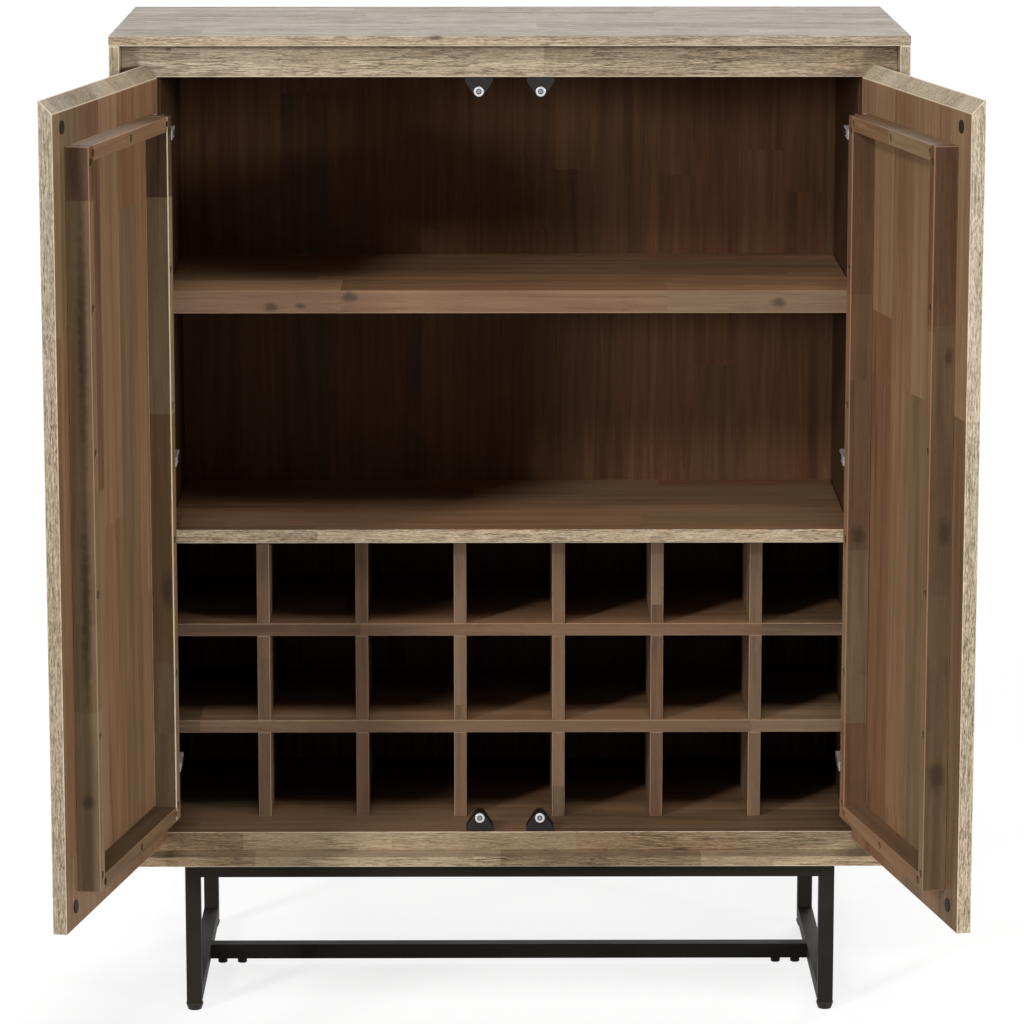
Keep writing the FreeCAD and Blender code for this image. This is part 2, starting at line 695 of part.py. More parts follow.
def base_parts():
    top_z = BASE_HEIGHT - TUBE
    rear_leg_y = leg_rear_y - TUBE
    floor_bar = tube_y(-leg_outer_x, leg_front_y + TUBE, rear_leg_y, FOOT_HEIGHT)
    tab_inset = TUBE_WALL + TAB_FIT
    tab_under = FOOT_HEIGHT + TUBE_WALL
    tab = block(-leg_inner_x - TUBE_WALL, -leg_inner_x + TAB_LENGTH, stretcher_y + tab_inset,
                stretcher_y + TUBE - tab_inset, tab_under, tab_under + TAB_THICK)
    floor_bar = floor_bar.fuse(cut_all(tab, bolt_holes())).removeSplitter()
    top_bar = tube_y(-leg_outer_x, leg_front_y + TUBE, rear_leg_y, top_z)
    front_leg = tube_z(-leg_outer_x, leg_front_y, FOOT_HEIGHT, BASE_HEIGHT)
    rear_leg = tube_z(-leg_outer_x, rear_leg_y, FOOT_HEIGHT, BASE_HEIGHT)
    screw_holes = base_screw_holes()
    stretcher = tube_x(-leg_inner_x, leg_inner_x, stretcher_y, FOOT_HEIGHT)
    stretcher_holes = bolt_holes()
    stretcher_holes += [mirrored(h) for h in stretcher_holes]
    feet = [foot(-leg_outer_x + TUBE / 2, y) for y in (leg_front_y + TUBE / 2, rear_leg_y + TUBE / 2)]
    return {
        "left_front_leg": [front_leg],
        "right_front_leg": [mirrored(front_leg)],
        "left_rear_leg": [rear_leg],
        "right_rear_leg": [mirrored(rear_leg)],
        "left_floor_bar": [floor_bar],
        "right_floor_bar": [mirrored(floor_bar)],
        "left_top_bar": [top_bar],
        "right_top_bar": [mirrored(top_bar)],
        "front_top_bar": [cut_all(tube_x(-leg_inner_x, leg_inner_x, leg_front_y, top_z), screw_holes)],
        "rear_top_bar": [cut_all(tube_x(-leg_inner_x, leg_inner_x, rear_leg_y, top_z), screw_holes)],
        "stretcher": [cut_all(stretcher, stretcher_holes)],
        "stretcher_bolts": bolts(),
        "levelling_feet": both_sides(feet),
    }


def main():
    os.makedirs("parts", exist_ok=True)
    nodes = {name: [shape] for name, shape in case_parts().items()}
    nodes["case_dowels"] = dowels(DOWEL_DIA, HOLE_FIT)
    nodes["lower_shelf"] = [shelf(rack_top, LOWER_SHELF, LOWER_SHELF_SETBACK)]
    nodes["upper_shelf"] = [shelf(upper_shelf_under, UPPER_SHELF, UPPER_SHELF_SETBACK)]
    nodes["shelf_pins"] = both_sides(shelf_pins(0.0))
    nodes.update({name: [shape] for name, shape in rack_parts().items()})
    nodes.update(door_parts())
    nodes.update(hinge_hardware())
    nodes.update(catch_parts())
    nodes.update(base_parts())
    for name, shapes in nodes.items():
        write(name, shapes)
    print(len(nodes), "nodes,", sum(len(s) for s in nodes.values()), "solids")


main()
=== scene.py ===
import json
import math
from collections import namedtuple

import bpy
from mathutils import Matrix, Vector

# The looks of a wine cabinet: brushed timber outside, smooth brown staves inside, a black steel base.
# Metres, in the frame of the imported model. +X is right, +Y is back, +Z is up.

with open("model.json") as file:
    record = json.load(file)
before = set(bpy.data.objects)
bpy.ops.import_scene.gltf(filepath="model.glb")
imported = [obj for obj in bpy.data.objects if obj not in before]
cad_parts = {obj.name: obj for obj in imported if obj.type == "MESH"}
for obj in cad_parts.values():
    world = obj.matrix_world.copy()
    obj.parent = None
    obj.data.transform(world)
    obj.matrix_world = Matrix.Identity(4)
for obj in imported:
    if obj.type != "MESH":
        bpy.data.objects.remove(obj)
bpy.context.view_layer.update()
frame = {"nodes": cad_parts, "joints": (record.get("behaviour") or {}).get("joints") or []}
nodes = frame["nodes"]

# Camera, fitted to the photograph
SENSOR_WIDTH = 36.0
IMAGE_PIXELS = 1024
FOCAL_PIXELS = 4628.0
CAMERA_PLACE = (-0.0317, -5.4829, 1.6135)
CAMERA_TURN = 0.37
CAMERA_DROP = 10.80
CLIP_END = 200.0

# Light: distant lamps by azimuth from the front (left is negative), elevation, level and angular size
Lamp = namedtuple("Lamp", "name azimuth elevation level size")
LAMPS = (
    Lamp("low_key_light", -36.0, 8.0, 0.33, 8.0),
    Lamp("high_key_light", -36.0, 28.0, 0.34, 8.0),
    Lamp("right_light", 54.0, 7.0, 0.58, 8.0),
    Lamp("left_side_light", -66.0, 12.0, 0.12, 10.0),
    Lamp("top_light", 0.0, 60.0, 0.36, 22.0),
    Lamp("rear_light", 160.0, 35.0, 0.50, 30.0),
)
AMBIENT_LEVEL = 0.014
FLOOR_SIZE = 60.0
FLOOR_GLOW = 0.78
FLOOR_SHADE = 0.30
FLOOR_BOUNCE = 0.35

# Directions of the boards: the case stands square, and each door is turned by its open angle
ALONG_X = Vector((1, 0, 0))
ALONG_Y = Vector((0, 1, 0))
ALONG_Z = Vector((0, 0, 1))
OPEN_ANGLE = math.radians(frame["joints"][0]["range_deg"][1])
DOOR_WAYS = {
    "left": Vector((math.cos(OPEN_ANGLE), -math.sin(OPEN_ANGLE), 0)),
    "right": Vector((-math.cos(OPEN_ANGLE), -math.sin(OPEN_ANGLE), 0)),
}
DOOR_INSIDES = {
    "left": Vector((math.sin(OPEN_ANGLE), math.cos(OPEN_ANGLE), 0)),
    "right": Vector((-math.sin(OPEN_ANGLE), math.cos(OPEN_ANGLE), 0)),
}

DOOR_SEEDS = {"left": 2.0, "right": 9.5}

# Magnets: how far each is from the middle, across and up or down, and its core and dark gap by radius
MAGNET_ASIDE = 0.0355
MAGNET_RISE = 0.4295
MAGNET_CORE = (0.0018, 0.0021)
MAGNET_GAP = (0.0030, 0.0033)

# Timber finishes: colours from dark to light grain in two hues, how much each pattern counts, and relief
Finish = namedtuple("Finish", "warm cool wear block streak fine fleck groove groove_colour rough relief")
SMOOTH = Finish(
    warm=((88, 58, 40), (138, 101, 74), (170, 130, 99)),
    cool=((72, 58, 41), (120, 99, 72), (152, 130, 100)),
    wear=(208, 174, 140),
    block=0.50, streak=0.90, fine=0.35, fleck=0.12, groove=0.12,
    groove_colour=(70, 48, 33), rough=0.55, relief=0.00010,
)
GREYED = SMOOTH._replace(
    warm=((88, 65, 49), (143, 112, 89), (172, 140, 115)),
    cool=((77, 65, 51), (132, 112, 90), (160, 140, 116)),
    wear=(204, 176, 148), block=0.35,
)
RACKED = GREYED._replace(
    warm=((76, 55, 41), (126, 97, 75), (153, 122, 99)),
    cool=((66, 55, 42), (116, 97, 76), (142, 122, 100)),
    wear=(160, 134, 109), block=0.45,
)
# Dark, saturated brown, mostly painted shade of the deep interior where the doors keep the light out, on the
# back and inner sides
SHADE_PAINTED_DEEP = SMOOTH._replace(
    warm=((46, 25, 13), (96, 61, 37), (124, 86, 57)),
    cool=((40, 27, 15), (88, 61, 38), (112, 84, 56)),
    wear=(96, 61, 37), block=0.20, streak=1.15,
)
WEATHERED = Finish(
    warm=((84, 64, 44), (187, 165, 136), (228, 211, 186)),
    cool=((78, 65, 49), (175, 161, 140), (218, 206, 188)),
    wear=(244, 228, 202),
    block=0.30, streak=0.45, fine=1.10, fleck=0.75, groove=0.70,
    groove_colour=(84, 66, 47), rough=0.80, relief=0.0004,
)
FLECKED = WEATHERED._replace(block=0.12, fine=0.90, fleck=1.20, groove=0.50)
BROWNED = WEATHERED._replace(
    warm=((84, 62, 43), (164, 137, 107), (204, 180, 150)),
    cool=((80, 66, 49), (154, 136, 109), (192, 174, 148)),
    block=0.60, fine=1.00, fleck=0.65, groove=0.65, groove_colour=(78, 57, 39),
)
BLEACHED = WEATHERED._replace(
    warm=((136, 124, 110), (192, 183, 171), (214, 207, 196)),
    cool=((130, 121, 110), (186, 179, 169), (208, 202, 194)),
    block=0.24, streak=1.10, fine=1.90, fleck=0.60, groove=0.60, groove_colour=(130, 117, 101),
)
TIMBER_SHINE = 0.15

# Wear along the arrises, with a painted highlight on one batten, and the tones that set single boards apart
# from their finish, one of them painted shade
WEAR_SHARE = 0.70
RUB_DEPTH = 0.002
RUB_FADE = 0.9
BATTEN_TONE = 0.82
FLOOR_TONE = 0.90
UPPER_SHELF_TONE = 1.14
LOWER_SHELF_TONE = 1.05
LOWER_EDGE_TONE = 1.16
# A further darkening of the inner sides: painted shade for the light the doors keep out
INNER_SIDE_PAINTED_SHADE = 0.66
DIVIDER_TONE = 0.85
DOOR_TONES = {"left": 0.93, "right": 1.03}
BATTEN_HALF_WIDTH = 0.0085
BATTEN_ARRISES = {"hinge": 0.0012, "meeting": 0.0012, "top": 0.0006, "bottom": 0.0006}
# A painted highlight: the left hinge batten's arris is made bright, as where the light catches it; the others
# keep faint wear
BATTEN_PAINTED_HIGHLIGHT = {"left_hinge": (255, 236, 206)}
FAINT_WEAR = (156, 120, 92)

# How squarely a surface looks along a direction to count as that face. The lean keeps a door's bevelled
# top edge out of its inner face
FACE_TURN = (0.62, 0.70)
BEVEL_LEAN = 0.6

# Edges: how a mesh is cleaned, which edges count as sharp, and the width of each kind of arris
WELD_DISTANCE = 0.00001
FLAT_ANGLE = 0.5
ARRIS_SEGMENTS = 2
SHARP_ANGLE = 35.0
BOARD_ARRIS = 0.0010
TOP_RAIL_ARRIS = 0.0014
THIN_BOARD_ARRIS = 0.0008
HIDDEN_BOARD_ARRIS = 0.0006
FLOOR_ARRIS = 0.0003
TUBE_ARRIS = 0.0007
HOUSING_ARRIS = 0.0010
FOOT_ARRIS = 0.0006
FITTING_ARRIS = 0.0004
FINE_ARRIS = 0.0003

# Colours of the hard pieces
STEEL_COLOUR = (36, 33, 29)
# The stretcher is darker than the other steel: painted shade for its place under the case
STRETCHER_PAINTED_SHADE = (22, 20, 17)
STRIKE_COLOUR = (46, 43, 40)
ZINC_COLOUR = (224, 224, 226)
ZINC_ROUGH = 0.42
ZINC_METALLIC = 0.65
SCREW_COLOUR = (16, 13, 11)
HOUSING_COLOUR = (24, 18, 17)
FOOT_COLOUR = (24, 23, 22)
MAGNET_CUP_COLOUR = (208, 208, 210)
MAGNET_GAP_COLOUR = (40, 38, 38)
MAGNET_CORE_COLOUR = (150, 152, 155)

# Coating, plating and moulding: the sizes and heights of their marks, tint, roughness and shine
ROUGH_SPREAD = 0.2
PEEL_SIZE = 0.0012
PEEL_HEIGHT = 0.00008
COAT_CLOUD_SIZE = 0.05
COAT_LIFT = 1.35
COAT_ROUGH = 0.42
COAT_SHINE = 0.05
SPOT_SIZE = 0.003
SPOT_HEIGHT = 0.00005
SPOT_SHADE = 0.8
MOULD_SIZE = 0.0006
MOULD_HEIGHT = 0.00006
MOULD_CLOUD_SIZE = 0.01
MOULD_LIFT = 1.3
MOULD_ROUGH = 0.4
MOULD_SHINE = 0.25
MAGNET_MARK_SIZE = 0.0008
MAGNET_ROUGH = 0.25

# Grain sizes
GRAIN_STRETCH = 24.0
FLECK_STRETCH = 5.0
STREAK_SIZE = 0.012
FINE_SIZE = 0.0009
GROOVE_SIZE = 0.0020
GROOVE_WIDTH = 0.04
FLECK_SIZE = 0.0010
PATCH_SIZE = 0.05
JOINT_LINE = 0.0005
JOINT_SHADE = 0.30
COLUMN_SHIFT = 37.0
COLUMN_SCATTER = 0.4
BLOCK_SHIFT = 5.0
BLOCK_SCATTER = 0.8
KNOT_STRETCH = 1.7
KNOT_RAGGED = 0.8
KNOT_EDGE = (0.6, 1.4)
KNOT_SHADE = 0.75

# A board's knots, and the pieces that it is jointed from: where each starts along it, its tone and its hue
Board = namedtuple("Board", "along across stave length seed knots pieces", defaults=((), ()))
Knot = namedtuple("Knot", "place size stretch", defaults=(KNOT_STRETCH,))
Piece = namedtuple("Piece", "start tone hue")
Face = namedtuple("Face", "finish towards board", defaults=(None,))
Rub = namedtuple("Rub", "towards level")


def linear(colour):
    """A colour given in 0 to 255, as the shader's own linear numbers."""
    shares = [c / 255 for c in colour]
    return tuple(s / 12.92 if s <= 0.04045 else ((s + 0.055) / 1.055) ** 2.4 for s in shares) + (1.0,)


def grey(level):
    return (level, level, level, 1.0)


def toned(finish, share):
    """The same finish, darkened or lightened by a share."""
    warm, cool = [[[c * share for c in colour] for colour in ramp] for ramp in (finish.warm, finish.cool)]
    return finish._replace(warm=warm, cool=cool)


class Graph:
    """The shader nodes of a material or a world, joined up socket by socket."""

    def __init__(self, owner):
        self.owner = owner
        owner.use_nodes = True
        self.tree = owner.node_tree
        self.tree.nodes.clear()

    def feed(self, socket, value):
        if isinstance(value, bpy.types.NodeSocket):
            self.tree.links.new(value, socket)
        else:
            socket.default_value = value

    def add(self, kind, inputs, **settings):
        node = self.tree.nodes.new(kind)
        for key, value in settings.items():
            setattr(node, key, value)
        for key, value in inputs.items():
            self.feed(node.inputs[key], value)
        return node

    def math(self, operation, *values):
        return self.add("ShaderNodeMath", dict(enumerate(values)), operation=operation).outputs[0]

    def vector(self, operation, *values):
        return self.add("ShaderNodeVectorMath", dict(enumerate(values)), operation=operation).outputs

    def dot(self, vector, direction):
        return self.vector("DOT_PRODUCT", vector, tuple(direction))["Value"]

    def combine(self, x, y, z):
        return self.add("ShaderNodeCombineXYZ", {"X": x, "Y": y, "Z": z}).outputs[0]

    def separate(self, colour):
        return self.add("ShaderNodeSeparateColor", {"Color": colour}).outputs

    def separate_place(self, place):
        return self.add("ShaderNodeSeparateXYZ", {"Vector": place}).outputs

    def noise(self, place, size, detail, distortion=0.0):
        inputs = {"Vector": place, "Scale": 1 / size, "Detail": detail, "Distortion": distortion}
        return self.add("ShaderNodeTexNoise", inputs).outputs[0]

    def cells(self, place, feature, randomness):
        inputs = {"W": place, "Scale": 1.0, "Randomness": randomness}
        node = self.add("ShaderNodeTexVoronoi", inputs, voronoi_dimensions="1D", feature=feature)
        return node.outputs

    def spread(self, value, low, high, at_low=0.0, at_high=1.0):
        inputs = {"Value": value, "From Min": low, "From Max": high, "To Min": at_low, "To Max": at_high}
        return self.add("ShaderNodeMapRange", inputs, interpolation_type="SMOOTHSTEP").outputs[0]

    def mix(self, share, first, second):
        return self.add("ShaderNodeMix", {0: share, 6: first, 7: second}, data_type="RGBA").outputs[2]

    def between(self, share, first, second):
        return self.add("ShaderNodeMix", {0: share, 2: first, 3: second}).outputs[0]

    def ramp(self, value, dark, middle, light):
        node = self.add("ShaderNodeValToRGB", {0: value})
        stops = node.color_ramp.elements
        stops[0].color = linear(dark)
        stops[1].color = linear(light)
        stops.new(0.5).color = linear(middle)
        return node.outputs[0]

    def object_place(self):
        return self.add("ShaderNodeTexCoord", {}).outputs["Object"]

    def object_normal(self):
        return self.add("ShaderNodeTexCoord", {}).outputs["Normal"]

    def bump(self, height):
        return self.add("ShaderNodeBump", {"Height": height, "Distance": 1.0}).outputs[0]

    def principled(self, inputs):
        return self.add("ShaderNodeBsdfPrincipled", inputs).outputs[0]

    def finish(self, shader):
        self.add("ShaderNodeOutputMaterial", {"Surface": shader})
        return self.owner


def material_graph(name):
    return Graph(bpy.data.materials.new(name))


Surface = namedtuple("Surface", "colour rough height")


def knottiness(g, board, place):
    """How strongly a point lies in one of the board's knots, which are longer along the grain."""
    most = 0.0
    for knot in board.knots:
        scale = [1 / (knot.size * (knot.stretch if abs(a) > 0.5 else 1.0)) for a in board.along]
        offset = g.vector("MULTIPLY", g.vector("SUBTRACT", place, knot.place)[0], scale)[0]
        away = g.vector("LENGTH", offset)["Value"]
        ragged = g.math("MULTIPLY_ADD", g.noise(place, knot.size, 3.0), KNOT_RAGGED, away)
        most = g.math("MAXIMUM", most, g.spread(ragged, *KNOT_EDGE, 1.0, 0.0))
    return most


def timber(g, board, finish):
    """Staves glued side by side and end to end, each with its own tone, hue and grain."""
    place = g.object_place()
    across = g.dot(place, board.across)
    along = g.dot(place, board.along)
    depth = g.dot(place, board.across.cross(board.along))
    column = g.math("MULTIPLY_ADD", across, 1 / board.stave, board.seed)
    column_random = g.separate(g.cells(column, "F1", COLUMN_SCATTER)["Color"])[0]
    block = g.math("MULTIPLY_ADD", column_random, COLUMN_SHIFT, g.math("MULTIPLY", along, 1 / board.length))
    block_colour = g.cells(block, "F1", BLOCK_SCATTER)["Color"]
    block_tone, block_hue = g.separate(block_colour)[:2]
    for piece in board.pieces:
        reached = g.math("GREATER_THAN", along, piece.start)
        block_tone = g.between(reached, block_tone, piece.tone)
        block_hue = g.between(reached, block_hue, piece.hue)
    side_gap = g.cells(column, "DISTANCE_TO_EDGE", COLUMN_SCATTER)["Distance"]
    side_gap = g.math("MULTIPLY", side_gap, board.stave)
    joint = g.spread(side_gap, 0.0, JOINT_LINE, 1.0, 0.0)

    grain = g.combine(across, g.math("MULTIPLY", along, 1 / GRAIN_STRETCH), depth)
    grain = g.vector("MULTIPLY_ADD", block_colour, (BLOCK_SHIFT,) * 3, grain)[0]
    short_fibre = g.combine(across, g.math("MULTIPLY", along, 1 / FLECK_STRETCH), depth)
    streak = g.noise(grain, STREAK_SIZE, 3.0, 0.8)
    fine = g.noise(grain, FINE_SIZE, 3.0, 0.3)
    brushed = g.math("ABSOLUTE", g.math("SUBTRACT", g.noise(grain, GROOVE_SIZE, 3.0, 0.5), 0.5))
    fleck = g.noise(short_fibre, FLECK_SIZE, 1.0, 0.4)
    patch = g.spread(g.noise(place, PATCH_SIZE, 2.0), 0.35, 0.65, 0.35, 1.0)
    groove = g.math("MULTIPLY", g.spread(brushed, 0.0, GROOVE_WIDTH, 1.0, 0.0), patch)
    knot = knottiness(g, board, place)

    tone = g.math("MULTIPLY_ADD", g.math("SUBTRACT", block_tone, 0.5), finish.block, 0.5)
    tone = g.math("MULTIPLY_ADD", g.math("SUBTRACT", streak, 0.5), finish.streak, tone)
    tone = g.math("MULTIPLY_ADD", g.math("SUBTRACT", fine, 0.5), finish.fine, tone)
    tone = g.math("MULTIPLY_ADD", g.math("SUBTRACT", fleck, 0.5), finish.fleck, tone)
    colour = g.mix(block_hue, g.ramp(tone, *finish.warm), g.ramp(tone, *finish.cool))
    colour = g.mix(g.math("MULTIPLY", groove, finish.groove), colour, linear(finish.groove_colour))
    colour = g.mix(g.math("MULTIPLY", joint, JOINT_SHADE), colour, linear(finish.groove_colour))
    colour = g.mix(g.math("MULTIPLY", knot, KNOT_SHADE), colour, linear(finish.cool[0]))
    rough = g.math("MULTIPLY_ADD", fine, ROUGH_SPREAD, finish.rough - ROUGH_SPREAD / 2)
    height = g.math("MULTIPLY_ADD", g.math("ADD", groove, joint), -1.0, fine)
    return Surface(colour, rough, g.math("MULTIPLY", height, finish.relief))


def lay(g, surface):
    """The shader for a timber surface."""
    return g.principled({"Base Color": surface.colour, "Roughness": surface.rough,
                         "Normal": g.bump(surface.height), "Specular IOR Level": TIMBER_SHINE})


def rubbed_side(name, towards):
    """The side of a piece that handling has rubbed, and how far the piece reaches that way."""
    return Rub(towards, max(v.co.dot(towards) for v in nodes[name].data.vertices))


def wear_and_highlight_arris(g, surface, finish, rubbed):
    """The same timber along an arris, paler where handling has rubbed it, and on the left hinge batten a
    painted highlight: all round, or on one side.
    """
    share = WEAR_SHARE
    if rubbed:
        reach = g.dot(g.object_place(), rubbed.towards)
        low = rubbed.level - RUB_DEPTH
        high = rubbed.level - RUB_FADE * RUB_DEPTH
        share = g.spread(reach, low, high, 0.0, WEAR_SHARE)
    return surface._replace(colour=g.mix(share, surface.colour, linear(finish.wear)))


def board_materials(name, board, finish, *faces, rubbed=None):
    """A board's material and its arris, paler with wear, and on the left hinge batten a painted highlight. A
    face may have a finish, and staves, of its own.
    """
    made = []
    for on_arris in (False, True):
        g = material_graph(name + "_arris" if on_arris else name)

        def finished(staves, kind):
            surface = timber(g, staves, kind)
            return wear_and_highlight_arris(g, surface, kind, rubbed) if on_arris else surface

        surface = finished(board, finish)
        for face in faces:
            other = finished(face.board or board, face.finish)
            share = g.spread(g.dot(g.object_normal(), face.towards), *FACE_TURN)
            colour = g.mix(share, surface.colour, other.colour)
            rough = g.between(share, surface.rough, other.rough)
            height = g.between(share, surface.height, other.height)
            surface = Surface(colour, rough, height)
        made.append(g.finish(lay(g, surface)))
    return made


# Hard materials
def coated_steel(name, colour):
    g = material_graph(name)
    place = g.object_place()
    peel = g.noise(place, PEEL_SIZE, 2.0)
    cloud = g.noise(place, COAT_CLOUD_SIZE, 3.0)
    lifted = linear([c * COAT_LIFT for c in colour])
    tint = g.mix(g.spread(cloud, 0.3, 0.7, 0.0, 0.35), linear(colour), lifted)
    normal = g.bump(g.math("MULTIPLY", peel, PEEL_HEIGHT))
    rough = g.math("MULTIPLY_ADD", cloud, ROUGH_SPREAD, COAT_ROUGH)
    return g.finish(g.principled({"Base Color": tint, "Roughness": rough, "Normal": normal,
                                  "Specular IOR Level": COAT_SHINE}))


def bare_metal(name, colour, rough):
    g = material_graph(name)
    place = g.object_place()
    spot = g.noise(place, SPOT_SIZE, 3.0)
    tint = g.mix(g.spread(spot, 0.35, 0.7), linear(colour), linear([c * SPOT_SHADE for c in colour]))
    normal = g.bump(g.math("MULTIPLY", spot, SPOT_HEIGHT))
    spread = g.math("MULTIPLY_ADD", spot, ROUGH_SPREAD, rough - ROUGH_SPREAD / 2)
    return g.finish(g.principled({"Base Color": tint, "Roughness": spread, "Normal": normal,
                                  "Metallic": ZINC_METALLIC}))


def magnet_face(name):
    """A bright cup round a dark gap and a grey core, about the middle of each magnet."""
    g = material_graph(name)
    x, _, z = g.separate_place(g.object_place())
    middle = box_middle("catch_magnets")
    aside = g.math("SUBTRACT", g.math("ABSOLUTE", x), MAGNET_ASIDE)
    rise = g.math("SUBTRACT", g.math("ABSOLUTE", g.math("SUBTRACT", z, middle.z)), MAGNET_RISE)
    away = g.vector("LENGTH", g.combine(aside, rise, 0.0))["Value"]
    inner = g.mix(g.spread(away, *MAGNET_CORE), linear(MAGNET_CORE_COLOUR), linear(MAGNET_GAP_COLOUR))
    tint = g.mix(g.spread(away, *MAGNET_GAP), inner, linear(MAGNET_CUP_COLOUR))
    marks = g.noise(g.object_place(), MAGNET_MARK_SIZE, 2.0)
    rough = g.math("MULTIPLY_ADD", marks, ROUGH_SPREAD, MAGNET_ROUGH)
    return g.finish(g.principled({"Base Color": tint, "Roughness": rough, "Metallic": 1.0}))


def moulded_plastic(name, colour):
    g = material_graph(name)
    place = g.object_place()
    texture = g.noise(place, MOULD_SIZE, 2.0)
    cloud = g.noise(place, MOULD_CLOUD_SIZE, 2.0)
    tint = g.mix(g.spread(cloud, 0.35, 0.65), linear(colour), linear([c * MOULD_LIFT for c in colour]))
    normal = g.bump(g.math("MULTIPLY", texture, MOULD_HEIGHT))
    rough = g.math("MULTIPLY_ADD", texture, ROUGH_SPREAD, MOULD_ROUGH)
    return g.finish(g.principled({"Base Color": tint, "Roughness": rough, "Normal": normal,
                                  "Specular IOR Level": MOULD_SHINE}))


def ease_edges(node, width):
    """Rounds a piece's arrises. A board's take the second material, at full width beside its holes too."""
    node.modifiers.new("weld", "WELD").merge_threshold = WELD_DISTANCE
    flat = node.modifiers.new("flat", "DECIMATE")
    flat.decimate_type = "DISSOLVE"
    flat.angle_limit = math.radians(FLAT_ANGLE)
    bevel = node.modifiers.new("arris", "BEVEL")
    bevel.width = width
    bevel.segments = ARRIS_SEGMENTS
    bevel.limit_method = "ANGLE"
    bevel.angle_limit = math.radians(SHARP_ANGLE)
    last = len(node.data.materials) - 1
    bevel.material = last
    bevel.loop_slide = False
    bevel.use_clamp_overlap = last == 0
    node.modifiers.new("normals", "WEIGHTED_NORMAL")


def dress(names, materials, ease):
    for name in names:
        node = nodes[name]
        node.data.materials.clear()
        for material in materials:
            node.data.materials.append(material)
        ease_edges(node, ease)


def numbered(stem, count):
    return [f"{stem}_{i + 1}" for i in range(count)]


# The pieces of the rails, the bottom panel and the upper shelf's front edge, from left to right
TOP_RAIL_PIECES = (
    Piece(-1.0, 0.85, 0.5), Piece(-0.251, 0.7, 0.3), Piece(0.039, 0.25, 0.4), Piece(0.356, 0.05, 0.1),
)
BOTTOM_RAIL_PIECES = (
    Piece(-1.0, 0.25, 0.1), Piece(-0.315, 0.65, 0.7), Piece(0.078, 0.45, 0.0), Piece(0.268, 0.5, 0.8),
)
BOTTOM_EDGE_PIECES = (
    Piece(-1.0, 0.4, 0.3), Piece(-0.300, 0.75, 0.6), Piece(-0.011, 0.25, 0.4), Piece(0.225, 0.65, 0.4),
)
UPPER_EDGE_PIECES = (Piece(-1.0, 0.55, 0.1), Piece(-0.245, 0.6, 0.0), Piece(0.171, 0.65, 0.5))


def dress_case():
    top_knots = (Knot((-0.083, -0.208, 1.158), 0.006),)
    panel = Board(ALONG_X, ALONG_Y, stave=0.075, length=0.46, seed=3.2, knots=top_knots)
    underside = rubbed_side("top_panel", -ALONG_Z)
    dress(["top_panel"],
          board_materials("top_panel", panel, WEATHERED, Face(BLEACHED, ALONG_Z), rubbed=underside),
          BOARD_ARRIS)
    underside = rubbed_side("bottom_panel", -ALONG_Z)
    panel = panel._replace(knots=(), pieces=BOTTOM_EDGE_PIECES)
    dress(["bottom_panel"], board_materials("bottom_panel", panel, BROWNED, rubbed=underside), BOARD_ARRIS)
    side = Board(ALONG_Z, ALONG_Y, stave=0.062, length=0.46, seed=8.7)
    dress(["left_side_panel", "right_side_panel", "left_stile", "right_stile"],
          board_materials("weathered_side", side, WEATHERED), BOARD_ARRIS)
    rail = Board(ALONG_X, ALONG_Y, stave=0.5, length=0.34, seed=1.4, pieces=TOP_RAIL_PIECES)
    underside = rubbed_side("top_rail", -ALONG_Z)
    dress(["top_rail"], board_materials("weathered_rail", rail, WEATHERED, rubbed=underside), TOP_RAIL_ARRIS)
    rail = rail._replace(seed=5.6, pieces=BOTTOM_RAIL_PIECES)
    rail_top = Face(floor_finish(), ALONG_Z, floor_staves())
    upper_side = rubbed_side("bottom_rail", ALONG_Z)
    dress(["bottom_rail"],
          board_materials("bottom_rail", rail, BROWNED, rail_top, rubbed=upper_side), BOARD_ARRIS)
    inside = Board(ALONG_Z, ALONG_Y, stave=0.058, length=0.5, seed=5.1)
    # The inner sides take the deep brown darkened further: painted shade
    dress(["left_inner_side", "right_inner_side"],
          board_materials("inner_side", inside, toned(SHADE_PAINTED_DEEP, INNER_SIDE_PAINTED_SHADE)), THIN_BOARD_ARRIS)
    # The back's inside takes the deep brown as painted shade; its outside is plain smooth timber
    back = Board(ALONG_Z, ALONG_X, stave=0.055, length=0.55, seed=2.6)
    dress(["back_panel"],
          board_materials("back_staves_painted_shade", back, SHADE_PAINTED_DEEP, Face(SMOOTH, ALONG_Y)), HIDDEN_BOARD_ARRIS)
    dress_shelves()
    for i, name in enumerate(numbered("rack_divider", 6)):
        upright = Board(ALONG_Z, ALONG_Y, stave=0.06, length=0.42, seed=4.4 + 3 * i)
        inner = toned(SMOOTH, DIVIDER_TONE)
        dress([name], board_materials(name, upright, inner, Face(RACKED, -ALONG_Y)), THIN_BOARD_ARRIS)
    dress(["case_dowels"], board_materials("dowel", side, SMOOTH), HIDDEN_BOARD_ARRIS)


def floor_staves():
    return Board(ALONG_X, ALONG_Y, stave=0.09, length=0.48, seed=3.7)


def floor_finish():
    """The floor's timber, which isn't rubbed where it meets the rail."""
    floor = toned(SMOOTH, FLOOR_TONE)
    return floor._replace(wear=floor.warm[1])


